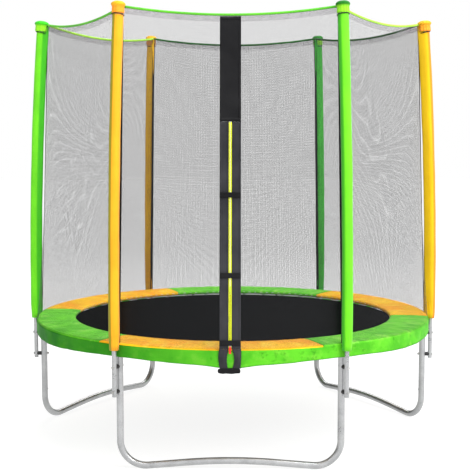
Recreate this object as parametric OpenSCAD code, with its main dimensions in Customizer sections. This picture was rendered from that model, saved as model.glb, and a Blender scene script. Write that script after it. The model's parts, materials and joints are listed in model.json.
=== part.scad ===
// Garden trampoline with a safety net: six rail sections on three U-shaped legs,
// a sprung mat, a padded spring cover and six sleeved poles that carry the net.
// Millimetres, +Z up. The origin is on the ground under the middle of the mat,
// and the door is on the -Y side.

/* [Frame] */
// Diameter of the round frame, over its rail tube
frame_d = 2440; // [2200:10:2700]
// Outer diameter of the rail and leg tubes
tube_d = 38; // [34:1:42]
// Wall of the rail and leg tubes
tube_wall = 1.5; // [1.2:0.1:2]
// Height of the rail's centre line above the ground
rail_h = 656; // [500:1:800]
// Length of each tube joint, where a narrowed end slides into the next tube
joint_len = 60; // [40:1:80]
// Length of the rail's socket for each leg, which the upper pole bolt passes through
socket_len = 75; // [40:1:80]

/* [Legs] */
// Radius of the leg bends, on the tube's centre line
bend_r = 140; // [110:1:170]
// Slope of the base tube where it leaves the bend, in degrees
arch_a = 4.6; // [3:0.1:6]
// Radius of the base tube's shallow bend in the middle
arch_r = 3000; // [1500:50:3400]
// Straight length between the bend and the joint in the leg
bend_straight = 14; // [5:1:40]

/* [Poles] */
// Diameter of the net poles
pole_d = 25; // [22:1:30]
// Wall of the net poles
pole_wall = 1.2; // [1:0.1:1.6]
// Gap between a leg tube and its pole, filled by the spacers
spacer_gap = 18.5; // [17:0.5:30]
// How far a pole's lower end hangs below the rail's centre line
pole_drop = 248; // [240:1:320]
// Height of a pole's upper end above the ground
pole_top = 2500; // [2100:5:2800]
// How far a pole runs straight above the rail's centre line, before it curves inwards
pole_straight = 144; // [100:1:900]
// How far a pole's upper end stands inside its foot
pole_lean = 66; // [20:1:80]
// Height of the joint between the two pole sections above the rail's centre line
joint_rise = 79; // [-30:1:79]
// How far the lower bolt in each pole lies below the rail's centre line
bolt_drop = 223; // [200:1:228]
// Distance between the two bolts in each pole
bolt_pitch = 137; // [100:1:150]
// Diameter of the pole bolts
bolt_d = 8; // [6:0.5:10]

/* [Sleeves] */
// Diameter of a padded pole sleeve
sleeve_d = 58; // [56:1:64]
// Thickness of the sleeve fabric
sleeve_wall = 1.5; // [1:0.1:2.5]
// Height of a sleeve's lower end above the rail's centre line
sleeve_rise = 8; // [-20:1:30]

/* [Mat and springs] */
// Distance from the jumping mat's edge to the rail's centre line
mat_gap = 181; // [171:1:300]
// Thickness of the mat fabric
mat_t = 1.6; // [1:0.1:3]
// Width of the webbing sewn round the mat
webbing_w = 50; // [35:1:70]
// Thickness of that webbing
webbing_t = 3; // [2:0.1:4]
// Springs on each rail section
springs_per_rail = 8; // [6:1:10]
// Outer diameter of a spring
spring_d = 20; // [16:0.5:24]
// Diameter of the spring wire
wire_d = 3.2; // [2.6:0.1:3.6]

/* [Spring cover] */
// Width of the padded spring cover
pad_w = 237.5; // [222:0.5:300]
// Thickness of the padded spring cover
pad_t = 19.7; // [12:0.1:30]
// Thickness of the cover's plastic skin
skin_t = 0.8; // [0.5:0.1:1.2]
// Turn of the cover's colour joints against the poles, in degrees
pad_turn = -6; // [-10:0.5:10]
// Height of the skirt that hangs outside the rail
skirt_h = 99; // [60:1:110]

/* [Net and door] */
// Gap between a pole's sleeve and the net's upper corner
net_gap = 6; // [5:1:50]
// How far the net's lower edge runs outside the rail's centre line, at the poles
net_out = 7; // [-50:1:9]
// How much further out the net's lower edge runs halfway between two poles
net_bulge = 20; // [17:1:30]
// Sag of the net's upper hem between two poles
net_sag = 45; // [0:1:80]
// Thickness of the net
net_t = 2; // [1.5:0.1:4]
// Width of the door strip in the front net
door_w = 112; // [90:1:140]
// Height of the door's zip, up to the solid panel
zip_h = 1188; // [830:1:1400]
// Width of the zip's teeth and tape
zip_w = 15; // [10:0.5:20]
// Heights of the three door straps above the net's lower edge
strap_h = [34, 384, 804];
// Height of a door strap
strap_w = 28; // [20:1:32]
// Length of the zip's pull tab
pull_len = 38; // [25:1:60]

/* [Hidden] */
$fn = 48;
sides = 6;
spread = 360 / sides;
clear = 0.3;
rail_r = frame_d / 2 - tube_d / 2;
tube_r = tube_d / 2;
bore_r = tube_r - tube_wall;
spigot_r = bore_r - 0.25;
fine = 240;

// Legs
leg_span = 2 * rail_r * sin(spread / 2);
base_z = bend_r + tube_r;
leg_joint = base_z + bend_straight;
joint_a = joint_len / rail_r * 180 / PI;
base_half = leg_span / 2 - bend_r - bend_r * sin(arch_a);
base_bar_len = base_half / cos(arch_a) - arch_r * tan(arch_a);
arch_fn = 4 * fine;
step = 0.2;
lap = 4;
collar = tube_r + 10;
leg_top = rail_h - collar;
socket_z = leg_top - joint_len / 2;

// Poles
pole_low = rail_h - pole_drop;
pole_curve = rail_h + pole_straight;
pole_joint = rail_h + joint_rise;
bolt_low = rail_h - bolt_drop;
pole_or = pole_d / 2;
pole_ir = pole_or - pole_wall;
pole_spigot = pole_ir - 0.2;
pole_r = rail_r + tube_r + spacer_gap + pole_or;
curve_h = pole_top - pole_curve;
curve_r = (curve_h * curve_h + pole_lean * pole_lean) / (2 * pole_lean);
curve_a = asin(curve_h / curve_r);
curve_fn = 1080;
sleeve_r = sleeve_d / 2;
sleeve_low = rail_h + sleeve_rise;
foam_r = sleeve_r - sleeve_wall - clear;
cap_h = 20;
cap_r = sleeve_r + 8;

// Fasteners
screw_r = 2.5;
screw_len = 12;
screw_head_r = 4.9;
screw_head_t = 2.5;
head_r = 7;
head_t = 5;
nut_t = 8;

// Mat, rings and springs
ring_t = 4;
ring_reach = 32;
ring_w = 34;
ring_bar = 4.5;
mat_r = rail_r - mat_gap;
ring_r = mat_r - 12;
webbing_z = rail_h + ring_t / 2;
mat_z = webbing_z + webbing_t;
spring_n = sides * springs_per_rail;
spring_step = 360 / spring_n;
wire_r = wire_d / 2;
tip_r = wire_r * 0.8;
hook_z = rail_h + ring_t / 2 + wire_r + 0.2;
hook_in = ring_r + ring_reach - ring_bar * 2.6;
tip_drop = 8;
hook_out = rail_r - sqrt(bore_r * bore_r - tip_drop * tip_drop) + clear + tip_r + wire_r;
coil_in = ring_r + ring_reach + 16;
coil_out = rail_r - tube_r - 17;
hole_r = wire_r + clear;

// Spring cover
pad_low = rail_h + tube_r + clear;
pad_top = pad_low + pad_t;
pad_out = rail_r + tube_r + 2.5;
pad_r = pad_out - pad_w;
skirt_r = pad_out + 0.1;
skirt_t = 1.2;
skirt_top = pad_low + pad_t / 2 + 4;
skirt_low = skirt_top - skirt_h;
foam_n = 12;
tie_n = 12;

// Each sleeve is drawn in beside the skirt, and full again where the pole starts to curve
sleeve_end_r = min(sleeve_r, pole_r - skirt_r - skirt_t - 0.7);
taper_low = pad_top + 5;
taper_high = pole_curve - 10;

// Net: upper and lower edges, walked by the turn from a corner to the next
net_low = pad_top + 1;
net_top = pole_top - 10;
net_low_r = rail_r + net_out;
net_top_r = pole_r - pole_lean - sleeve_r - net_gap;
net_mid_r = net_top_r * cos(spread / 2);
net_strips = 10;
door_rise = net_top - net_sag - net_low;
door_r = net_low_r + net_bulge;
door_run = door_r - net_mid_r;
door_tilt = atan(door_run / door_rise);
door_len = sqrt(door_rise * door_rise + door_run * door_run);
trim_r = 7;
loop_wire = 2.5;
tie_r = 2;
loop_drop = 28;
tape_t = 1.5;
chain_t = 3;
slit = 1.6;
slider_w = 12;
slider_len = 30;
plate_t = 1.5;
bridge_t = 3;
pull_w = 11;
pull_t = 2.5;
strap_t = 2;
strap_y = tape_t + 6.8;
patch_w = 20;
tail_w = 46;
tail_low = skirt_low - 8;
gather_h = 18;

// Length up the net's slope to a height above its lower edge
function along(h) = h / cos(door_tilt);

zip_len = along(zip_h);
slider_s = 13;

// Shared shapes

// The turn of leg and pole k: 1 is front left, then round by the right
function side_a(k) = 240 + spread * (k - 1);

module ring(r_out, r_in) {
    difference() {
        circle(r = r_out, $fn = 48);
        circle(r = r_in, $fn = 48);
    }
}

module tube(r_out, r_in, h) {
    difference() {
        cylinder(r = r_out, h = h);
        translate([0, 0, -1]) cylinder(r = r_in, h = h + 2);
    }
}

// A radial rod at height z, from radius r1 to r2
module spoke(z, r1, r2, r) {
    translate([r1, 0, z]) rotate([0, 90, 0]) cylinder(r = r, h = r2 - r1);
}

module at_side(k) {
    rotate([0, 0, side_a(k)]) children();
}

// A profile swept up the curved upper stretch of a pole
module pole_sweep() {
    translate([pole_r - curve_r, 0, pole_curve]) rotate([90, 0, 0])
        rotate_extrude(angle = curve_a, $fn = curve_fn) translate([curve_r, 0]) children();
}

// The place at the pole's centre line a given drop below its upper end
module at_pole_top(drop = 0) {
    a = curve_a - drop / curve_r * 180 / PI;
    translate([pole_r - curve_r, 0, pole_curve]) rotate([0, -a, 0])
        translate([curve_r, 0, 0]) children();
}

// A strip of ring between two turns, with round inner and outer edges
module pad_sector(a1, a2, r_in, r_out, t) {
    rotate([0, 0, a1]) rotate_extrude(angle = a2 - a1, $fn = fine) {
        translate([r_in + t / 2, -t / 2]) square([r_out - r_in - t, t]);
        for (r = [r_in + t / 2, r_out - t / 2]) translate([r, 0]) circle(d = t, $fn = 24);
    }
}

// Frame

// A round bar bent along the rail, from turn a1 to a2
module rail_bar(a1, a2, r) {
    translate([0, 0, rail_h]) rotate([0, 0, a1]) rotate_extrude(angle = a2 - a1, $fn = fine)
        translate([rail_r, 0]) circle(r = r, $fn = 48);
}

// A section of rail with its narrowed end, and the socket that its leg slides over
module rail(k) {
    far = spread / 2;
    color("silver") at_side(k) difference() {
        union() {
            rail_bar(-far, far, tube_r);
            rail_bar(far - 0.5, far + joint_a, spigot_r);
            translate([rail_r, 0, leg_top - socket_len]) cylinder(r = spigot_r, h = socket_len + collar);
            translate([rail_r, 0, leg_top]) cylinder(r = tube_r - 0.5, h = 6);
        }
        rail_bar(-far - 1, far - joint_a / 4, bore_r);
        rail_bar(-far, far + joint_a + 1, spigot_r - tube_wall);
        translate([rail_r, 0, leg_top - socket_len - 1])
            cylinder(r = spigot_r - tube_wall, h = socket_len + collar + 1);
        for (i = [0:springs_per_rail - 1])
            rotate([0, 0, (i - (springs_per_rail - 1) / 2) * spring_step])
                spoke(rail_h, rail_r - tube_r - 2, rail_r - 5, hole_r);
        spoke(socket_z, rail_r - tube_r, rail_r, screw_r + 0.1);
        leg_bolt_holes();
        rail_screw_hole(far + joint_a / 2);
        rail_screw_hole(joint_a / 2 - far);
    }
}

// The hole for a rail screw, on the underside at a turn
module rail_screw_hole(turn) {
    rotate([0, 0, turn]) translate([rail_r, 0, rail_h - tube_r - 1])
        cylinder(r = screw_r + 0.1, h = tube_wall * 2 + 3);
}

module leg_bolt_holes() {
    for (z = [bolt_low, bolt_low + bolt_pitch])
        spoke(z, rail_r - tube_r - 1, rail_r + tube_r + 1, bolt_d / 2 + clear);
}

module leg_upright(k) {
    color("silver") at_side(k) difference() {
        translate([rail_r, 0, leg_joint]) tube(tube_r, bore_r, leg_top - leg_joint);
        for (z = [socket_z, leg_joint + joint_len / 2])
            spoke(z, rail_r - tube_r - 1, rail_r, screw_r + 0.1);
        leg_bolt_holes();
    }
}

// A round bar bent into one U: a long shallow arch, a bend and a short upright each side.
// The straight stretches are a hair thinner than the bends and run a little way into them.
module base_bar(r, upright) {
    low_y = base_z - bend_r * cos(arch_a);
    arch_y = low_y + base_bar_len * sin(arch_a) - arch_r * cos(arch_a);
    rotate([90, 0, 90]) {
        translate([0, arch_y]) rotate([0, 0, 90 - arch_a])
            rotate_extrude(angle = 2 * arch_a, $fn = arch_fn) translate([arch_r, 0]) circle(r = r, $fn = 48);
        for (side = [0, 1]) mirror([side, 0, 0]) {
            translate([base_half, low_y]) rotate([0, -90, -arch_a]) translate([0, 0, -lap])
                cylinder(r = r - step, h = base_bar_len + 2 * lap);
            translate([leg_span / 2 - bend_r, base_z]) rotate([0, 0, -90 - arch_a])
                rotate_extrude(angle = 90 + arch_a, $fn = fine) translate([bend_r, 0]) circle(r = r, $fn = 48);
        }
    }
    for (side = [-1, 1]) translate([0, side * leg_span / 2, base_z - lap])
        cylinder(r = r - step, h = upright + lap);
}

// One U, which stands on the lowest points of its two bends
module leg_base(k) {
    mid_a = side_a(2 * k - 1) + spread / 2;
    color("silver") rotate([0, 0, mid_a]) translate([rail_r * cos(spread / 2), 0, 0]) difference() {
        union() {
            base_bar(tube_r, bend_straight);
            for (side = [-1, 1]) translate([0, side * leg_span / 2, base_z])
                cylinder(r = spigot_r, h = bend_straight + joint_len);
        }
        base_bar(spigot_r - tube_wall, bend_straight + joint_len + 1);
        for (side = [-1, 1]) translate([0, side * leg_span / 2, leg_joint + joint_len / 2])
            rotate([0, 0, 180 + side * spread / 2]) spoke(0, 0, tube_r, screw_r + 0.1);
    }
}

// A screw that points up, with its head's underside at the origin
module frame_screw() {
    translate([0, 0, -0.5]) cylinder(r = screw_r, h = screw_len + 0.5);
    translate([0, 0, -screw_head_t]) cylinder(r = screw_head_r, h = screw_head_t);
}

module frame_screws() {
    color("gray") for (k = [1:sides]) at_side(k) {
        for (z = [socket_z, leg_joint + joint_len / 2])
            translate([rail_r - tube_r, 0, z]) rotate([0, 90, 0]) frame_screw();
        rotate([0, 0, spread / 2 + joint_len / 2 / rail_r * 180 / PI])
            translate([rail_r, 0, rail_h - tube_r]) frame_screw();
    }
}

// Poles

module bolt_holes() {
    for (z = [bolt_low, bolt_low + bolt_pitch])
        spoke(z, pole_r - pole_or - 1, pole_r + pole_or + 1, bolt_d / 2 + clear);
}

module pole_lower(k) {
    color("gainsboro") at_side(k) difference() {
        translate([pole_r, 0, pole_low]) union() {
            tube(pole_or, pole_ir, pole_joint - pole_low);
            translate([0, 0, pole_joint - pole_low - 12]) tube(pole_ir, pole_spigot - pole_wall, 12);
            translate([0, 0, pole_joint - pole_low]) tube(pole_spigot, pole_spigot - pole_wall, joint_len);
        }
        bolt_holes();
    }
}

module pole_upper(k) {
    color("gainsboro") at_side(k) {
        translate([pole_r, 0, pole_joint]) tube(pole_or, pole_ir, pole_curve - pole_joint);
        pole_sweep() ring(pole_or, pole_ir);
    }
}

module foam_tubes() {
    color("dimgray") for (k = [1:sides]) at_side(k) {
        translate([pole_r, 0, taper_high]) tube(foam_r, pole_or + clear, pole_curve - taper_high);
        pole_sweep() ring(foam_r, pole_or + clear);
    }
}

module pole_sleeve(k) {
    r = sleeve_r;
    end_r = sleeve_end_r;
    color(k % 2 == 1 ? "orange" : "limegreen") at_side(k) {
        translate([pole_r, 0, 0]) rotate_extrude() polygon([
            [end_r - sleeve_wall, sleeve_low], [end_r, sleeve_low], [end_r, taper_low],
            [r, taper_high], [r, pole_curve], [r - sleeve_wall, pole_curve],
            [r - sleeve_wall, taper_high], [end_r - sleeve_wall, taper_low]
        ]);
        pole_sweep() ring(r, r - sleeve_wall);
    }
}

module pole_caps() {
    edge = 4;
    color("green") for (k = [1:sides]) at_side(k) at_pole_top() rotate_extrude() {
        square([cap_r - edge, cap_h]);
        square([cap_r, cap_h - edge]);
        translate([cap_r - edge, cap_h - edge]) circle(r = edge);
    }
}

// Saddle-ended spacers between each pole and its leg
module pole_spacers() {
    color("black") for (k = [1:sides]) at_side(k) for (z = [bolt_low, bolt_low + bolt_pitch])
        difference() {
            spoke(z, rail_r + tube_r / 2, pole_r - pole_or / 2, 12);
            spoke(z, rail_r, pole_r, bolt_d / 2 + clear);
            translate([rail_r, 0, z - 20]) cylinder(r = tube_r + 0.05, h = 40);
            translate([pole_r, 0, z - 20]) cylinder(r = pole_or + 0.05, h = 40);
        }
}

module pole_bolts() {
    color("gray") for (k = [1:sides]) at_side(k) for (z = [bolt_low, bolt_low + bolt_pitch]) {
        spoke(z, rail_r - tube_r - nut_t - 3, pole_r + pole_or, bolt_d / 2);
        spoke(z, pole_r + pole_or, pole_r + pole_or + head_t, head_r);
    }
}

module pole_nuts() {
    color("gray") for (k = [1:sides]) at_side(k) for (z = [bolt_low, bolt_low + bolt_pitch])
        translate([rail_r - tube_r - nut_t, 0, z]) rotate([0, 90, 0]) difference() {
            cylinder(r = bolt_d * 0.9, h = nut_t, $fn = 6);
            translate([0, 0, -1]) cylinder(r = bolt_d / 2 + 0.05, h = nut_t + 2);
        }
}

// Mat and springs

module mat() {
    color("black") translate([0, 0, mat_z]) cylinder(r = mat_r, h = mat_t, $fn = fine);
}

module mat_webbing() {
    color("darkslategray") translate([0, 0, webbing_z]) difference() {
        cylinder(r = mat_r + 2, h = webbing_t, $fn = fine);
        translate([0, 0, -1]) cylinder(r = mat_r + 2 - webbing_w, h = webbing_t + 2, $fn = fine);
    }
}

module at_spring(i) {
    rotate([0, 0, (i + 0.5) * spring_step]) children();
}

module v_rings() {
    color("silver") for (i = [0:spring_n - 1]) at_spring(i)
        translate([ring_r, 0, rail_h - ring_t / 2]) linear_extrude(ring_t) difference() {
            polygon([[-ring_bar, -ring_w / 2], [-ring_bar, ring_w / 2], [ring_reach, ring_bar],
                [ring_reach, -ring_bar]]);
            polygon([[0, -ring_w / 2 + ring_bar * 1.6], [0, ring_w / 2 - ring_bar * 1.6],
                [ring_reach - ring_bar, ring_bar * 0.6], [ring_reach - ring_bar, -ring_bar * 0.6]]);
        }
}

// Each spring's coil as a plain rod, with a hook over its ring and one in the rail
module springs() {
    color("silver") for (i = [0:spring_n - 1]) at_spring(i) {
        spoke(rail_h, coil_in, coil_out, spring_d / 2);
        spoke(hook_z, hook_in, coil_in + 1, wire_r);
        translate([hook_in + wire_r, 0, rail_h - ring_t]) cylinder(r = tip_r, h = hook_z - rail_h + ring_t);
        spoke(rail_h, coil_out - 1, hook_out, wire_r);
        translate([hook_out - wire_r, 0, rail_h - tip_drop]) cylinder(r = tip_r, h = tip_drop);
    }
}

// Spring cover

module pad_foam() {
    step = 360 / foam_n;
    trim = 0.03;
    in = skin_t + 0.1;
    color("white") translate([0, 0, pad_low + pad_t / 2]) for (i = [0:foam_n - 1])
        pad_sector(i * step + trim, (i + 1) * step - trim, pad_r + in, pad_out - in, pad_t - 2 * in);
}

// One third of the cover: every other sector, starting from turn a
module pad_cover(a) {
    translate([0, 0, pad_low + pad_t / 2]) for (i = [0:2]) rotate([0, 0, a + i * 2 * spread]) difference() {
        pad_sector(0, spread, pad_r, pad_out, pad_t);
        pad_sector(-1, spread + 1, pad_r + skin_t, pad_out - skin_t, pad_t - 2 * skin_t);
    }
}

module pad_cover_green() {
    color("limegreen") pad_cover(side_a(2) + pad_turn);
}

module pad_cover_yellow() {
    color("orange") pad_cover(side_a(1) + pad_turn);
}

module pad_skirt() {
    color("green") translate([0, 0, skirt_low])
        difference() {
            cylinder(r = skirt_r + skirt_t, h = skirt_h, $fn = fine);
            translate([0, 0, -1]) cylinder(r = skirt_r, h = skirt_h + 2, $fn = fine);
        }
}

// Elastic loops sewn under the cover, each round the rail between two springs
module pad_ties() {
    r_in = tube_r + 0.1;
    color("black") for (i = [0:tie_n - 1]) rotate([0, 0, (i + 0.5) * 360 / tie_n])
        translate([rail_r, 6, rail_h]) rotate([90, 0, 0]) difference() {
            cylinder(r = r_in + 1, h = 12);
            translate([0, 0, -1]) cylinder(r = r_in, h = 14);
            translate([-tube_r, r_in - 0.5, -1]) cube([tube_d, 5, 14]);
        }
}

// Net and door

function polar(r, a, z) = [r * cos(a), r * sin(a), z];

// Points of the net's edges: panel k, a share t of the way to the next corner
function low_point(k, t) = polar(net_low_r + net_bulge * sin(180 * t), side_a(k) + spread * t, net_low);
function top_point(k, t) = let (
        a = polar(net_top_r, side_a(k), 0),
        b = polar(net_top_r, side_a(k + 1), 0)
    ) a + (b - a) * t + [0, 0, net_top - net_sag * 4 * t * (1 - t)];

function outward(p) = [p[0], p[1], 0] / norm([p[0], p[1], 0]);

// A thin slab between two points of the lower edge and two of the upper edge
module net_strip(p, q, q_top, p_top) {
    inner = [p, q, q_top, p_top];
    outer = [for (v = inner) v + outward(v) * net_t];
    polyhedron(
        points = concat(inner, outer),
        faces = [[0, 1, 2], [0, 2, 3], [4, 6, 5], [4, 7, 6], [0, 4, 5], [0, 5, 1], [1, 5, 6], [1, 6, 2],
            [2, 6, 7], [2, 7, 3], [3, 7, 4], [3, 4, 0]]
    );
}

// Strips of panel k between shares t1 and t2 of the lower edge and s1 and s2 of the
// upper edge. A hairline parts them, so that each one is nearly flat.
module net_strips(k, t1, t2, s1, s2, n) {
    hair = clear / net_low_r * 180 / PI / spread;
    for (i = [0:n - 1]) {
        a = i / n;
        b = (i + 1) / n;
        net_strip(
            low_point(k, t1 + (t2 - t1) * a + hair), low_point(k, t1 + (t2 - t1) * b - hair),
            top_point(k, s1 + (s2 - s1) * b - hair), top_point(k, s1 + (s2 - s1) * a + hair)
        );
    }
}

module net() {
    door_t = asin(door_w / 2 / door_r) / spread;
    door_s = door_w / 2 / net_top_r;
    color("dimgray") for (k = [1:sides])
        if (k == 1) {
            net_strips(k, 0, 0.5 - door_t, 0, 0.5 - door_s, net_strips / 2);
            net_strips(k, 0.5 + door_t, 1, 0.5 + door_s, 1, net_strips / 2);
        } else {
            net_strips(k, 0, 1, 0, 1, net_strips);
        }
}

// A round cord between two points
module rod(p, q, r) {
    d = q - p;
    translate(p) rotate([0, acos(d[2] / norm(d)), atan2(d[1], d[0])]) cylinder(r = r, h = norm(d));
}

// The hem cord, which sags in an arc between two corners and stops short of the caps
module net_trim() {
    half = net_top_r * sin(spread / 2);
    sag_r = (half * half + net_sag * net_sag) / (2 * net_sag);
    sag_a = asin((half - cap_r) / sag_r);
    strip_sag = pow(2 * half / net_strips, 2) / (8 * sag_r);
    color("yellowgreen") for (k = [1:sides]) rotate([0, 0, side_a(k) + spread / 2])
        translate([net_mid_r + net_t / 2, 0, 0]) rotate([90, 0, 90])
            translate([0, net_top - net_sag + sag_r + trim_r + strip_sag + clear / 2]) rotate([0, 0, -90 - sag_a])
                rotate_extrude(angle = 2 * sag_a, $fn = curve_fn)
                    translate([sag_r, 0]) circle(r = trim_r, $fn = 24);
}

// A loop round each sleeve, with a short tie to the net's corner
module net_loops() {
    loop_r = sleeve_r + loop_wire + clear;
    drop_a = curve_a - loop_drop / curve_r * 180 / PI;
    in_r = curve_r - loop_r;
    from = [pole_r - curve_r + cos(drop_a) * in_r, 0, pole_curve + sin(drop_a) * in_r];
    color("black") for (k = [1:sides]) at_side(k) {
        at_pole_top(loop_drop) rotate_extrude() translate([loop_r, 0]) circle(r = loop_wire, $fn = 24);
        rod([net_top_r + net_t + loop_wire + 0.2, 0, net_top - 4], from, tie_r);
    }
}

// Door pieces lie in the front net's slope: x across, z up the slope, -y outwards
module on_door() {
    translate([0, -door_r, net_low]) rotate([-door_tilt, 0, 0]) children();
}

module door_block(x, y, s, size) {
    translate([x, y - size[1], s]) cube(size);
}

module door_panel() {
    color("black") on_door() door_block(-door_w / 2, 0, zip_len + 2, [door_w, tape_t, door_len - zip_len - 4]);
}

module door_tapes() {
    w = door_w / 2 - zip_w / 2;
    color("dimgray") {
        on_door() for (x = [-door_w / 2, zip_w / 2])
            door_block(x, 0, 4, [w, tape_t, zip_len - 2.5]);
        for (x = [-door_w / 2 - 8, zip_w / 2 + 2]) door_tail(x);
        door_gather();
    }
}

// A tail of the door tape, straight down outside the skirt
module door_tail(x) {
    translate([x, -door_r - tape_t, tail_low]) cube([tail_w, tape_t, net_low + 4 - tail_low]);
}

// The gathered ends of the tails, tied under the skirt
module door_gather() {
    color("black") translate([-door_w / 2 - 8, -door_r - 6, tail_low - gather_h])
        cube([door_w + 6, 9, gather_h]);
}

module zip_chain() {
    color("yellow") on_door() for (side = [0, 1]) mirror([side, 0, 0])
        door_block(slit / 2, 0, 6, [zip_w / 2 - slit / 2 - 0.1, chain_t, zip_len - 6]);
}

// Front and back plates joined through the slit between the two rows of teeth
module zip_slider() {
    face = chain_t + clear;
    web = slit - 2 * clear;
    color("black") on_door() {
        door_block(-slider_w / 2, clear + plate_t, slider_s, [slider_w, plate_t, slider_len]);
        door_block(-slider_w / 2, -face, slider_s, [slider_w, plate_t, slider_len]);
        door_block(-web / 2, clear + 0.5, slider_s + 3, [web, face + clear + 1, slider_len - 6]);
        for (x = [-pull_w / 2, pull_w / 2 - 2])
            door_block(x, -face - plate_t + 0.5, slider_s, [2, bridge_t + 0.5, 8]);
        pull_pin();
    }
}

pull_y = -(chain_t + clear + plate_t + bridge_t / 2);
pull_pin_r = 0.9;

module pull_pin() {
    translate([-pull_w / 2, pull_y, slider_s + 3]) rotate([0, 90, 0]) cylinder(r = pull_pin_r, h = pull_w);
}

// The pull hangs from the pin by an eye, and clears the pin by a hair
module zip_pull() {
    eye_w = pull_w - 4 - 2 * clear;
    color("red") on_door() translate([0, pull_y, slider_s + 3]) difference() {
        union() {
            translate([-eye_w / 2, 0, 0]) rotate([0, 90, 0]) cylinder(d = pull_t, h = eye_w);
            translate([-eye_w / 2, -pull_t / 2, -8]) cube([eye_w, pull_t, 8]);
            translate([-pull_w / 2, -pull_t / 2, -pull_len]) cube([pull_w, pull_t, pull_len - 6]);
        }
        translate([-pull_w / 2, 0, 0]) rotate([0, 90, 0]) cylinder(r = pull_pin_r + 0.08, h = pull_w);
    }
}

// Stitched at its left end, held by hook and loop at its right end
module door_strap(k) {
    color("black") on_door()
        door_block(-door_w / 2, -strap_y, along(strap_h[k - 1]) - strap_w / 2, [door_w, strap_t, strap_w]);
}

module strap_patches() {
    color("black") on_door() for (h = strap_h) for (x = [-door_w / 2, door_w / 2 - patch_w])
        door_block(x, -tape_t - 0.1, along(h) - strap_w / 2, [patch_w, strap_y - tape_t - clear, strap_w]);
}

for (k = [1:sides]) {
    rail(k);
    leg_upright(k);
    pole_lower(k);
    pole_upper(k);
    pole_sleeve(k);
}
for (k = [1:3]) {
    leg_base(k);
    door_strap(k);
}
pole_caps();
foam_tubes();
pole_spacers();
pole_bolts();
pole_nuts();
frame_screws();
mat();
mat_webbing();
v_rings();
springs();
pad_foam();
pad_cover_green();
pad_cover_yellow();
pad_skirt();
pad_ties();
net();
net_trim();
net_loops();
door_panel();
door_tapes();
zip_chain();
zip_slider();
zip_pull();
strap_patches();
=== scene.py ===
import json
import math

import bmesh
import bpy
from mathutils import Matrix, Vector, noise


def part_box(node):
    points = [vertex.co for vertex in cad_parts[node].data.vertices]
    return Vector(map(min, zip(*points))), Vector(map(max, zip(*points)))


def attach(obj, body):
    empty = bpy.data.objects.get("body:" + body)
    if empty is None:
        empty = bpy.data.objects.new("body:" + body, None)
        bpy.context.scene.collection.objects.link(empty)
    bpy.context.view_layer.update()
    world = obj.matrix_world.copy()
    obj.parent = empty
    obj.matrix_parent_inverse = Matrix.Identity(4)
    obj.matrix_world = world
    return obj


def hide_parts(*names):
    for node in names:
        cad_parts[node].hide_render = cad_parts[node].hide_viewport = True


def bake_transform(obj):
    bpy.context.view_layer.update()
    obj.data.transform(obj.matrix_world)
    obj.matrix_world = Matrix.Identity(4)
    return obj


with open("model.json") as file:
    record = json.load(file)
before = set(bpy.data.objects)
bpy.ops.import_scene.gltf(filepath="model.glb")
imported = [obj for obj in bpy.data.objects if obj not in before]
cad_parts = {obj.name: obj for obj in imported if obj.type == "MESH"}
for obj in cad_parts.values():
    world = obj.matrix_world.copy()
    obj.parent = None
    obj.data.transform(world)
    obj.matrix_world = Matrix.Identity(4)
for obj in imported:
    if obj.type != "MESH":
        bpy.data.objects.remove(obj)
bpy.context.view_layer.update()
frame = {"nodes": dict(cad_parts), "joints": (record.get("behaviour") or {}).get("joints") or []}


# Camera and studio

def add_camera():
    camera = bpy.data.objects.new("camera", bpy.data.cameras.new("camera"))
    camera.data.lens = 84.8
    camera.location = (0.082, -6.948, 1.810)
    camera.rotation_euler = (math.radians(84.89), 0, math.radians(0.56))
    bpy.context.scene.collection.objects.link(camera)
    bpy.context.scene.camera = camera


def add_light(name, place, size, power):
    """A soft square lamp that faces the middle of the trampoline."""
    lamp = bpy.data.objects.new(name, bpy.data.lights.new(name, "AREA"))
    lamp.data.size = size
    lamp.data.energy = power
    lamp.location = place
    aim = Vector((0, 0, 1)) - Vector(place)
    lamp.rotation_euler = aim.to_track_quat("-Z", "Y").to_euler()
    bpy.context.scene.collection.objects.link(lamp)


bpy.context.scene.view_settings.view_transform = "Standard"
add_camera()
add_light("key", (5.5, -6, 6), 3, 420)
add_light("fill", (-5, -6, 4), 4, 100)
add_light("back", (0, 7, 6), 5, 300)
add_light("top", (1, -1, 8), 5, 480)


# Measures, in metres, from the frame

def middle(node):
    low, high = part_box(node)
    return (low + high) / 2


def size(node):
    low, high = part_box(node)
    return high - low


SIDES = 6
SPREAD = 2 * math.pi / SIDES
TUBE_R = size("leg_upright_3").y / 2
RAIL_R = middle("leg_upright_3").x
RAIL_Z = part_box("rail_3")[1].z - TUBE_R
POLE_R = middle("pole_lower_3").x
SLEEVE_R = size("pole_sleeve_3").y / 2
SLEEVE_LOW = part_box("pole_sleeve_3")[0].z
SLEEVE_END_R = 0.0265
SLEEVE_FLANGE = 0.0165
POLE_TOP = 2.5
LEAN_FROM = 0.8
LEAN = 0.066
LEAN_R = ((POLE_TOP - LEAN_FROM) ** 2 + LEAN ** 2) / (2 * LEAN)
LEAN_TURN = math.asin((POLE_TOP - LEAN_FROM) / LEAN_R)
POLE_LENGTH = LEAN_FROM + LEAN_R * LEAN_TURN
MAT_R = size("mat").x / 2
MAT_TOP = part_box("mat")[1].z
PAD_LOW, PAD_TOP = (corner.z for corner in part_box("pad_cover_green"))
PAD_IN = 0.985
PAD_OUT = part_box("rail_3")[1].x + 0.0025
PAD_TURN = math.radians(-6)
SKIRT_LOW, SKIRT_TOP = (corner.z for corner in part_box("pad_skirt"))
SKIRT_R = size("pad_skirt").x / 2 - 0.0012
NET_LOW, NET_TOP = (corner.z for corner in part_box("net"))
NET_LOW_R = 1.208
NET_BULGE = 0.02
NET_TOP_R = 1.15
NET_SAG = 0.045
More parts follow.
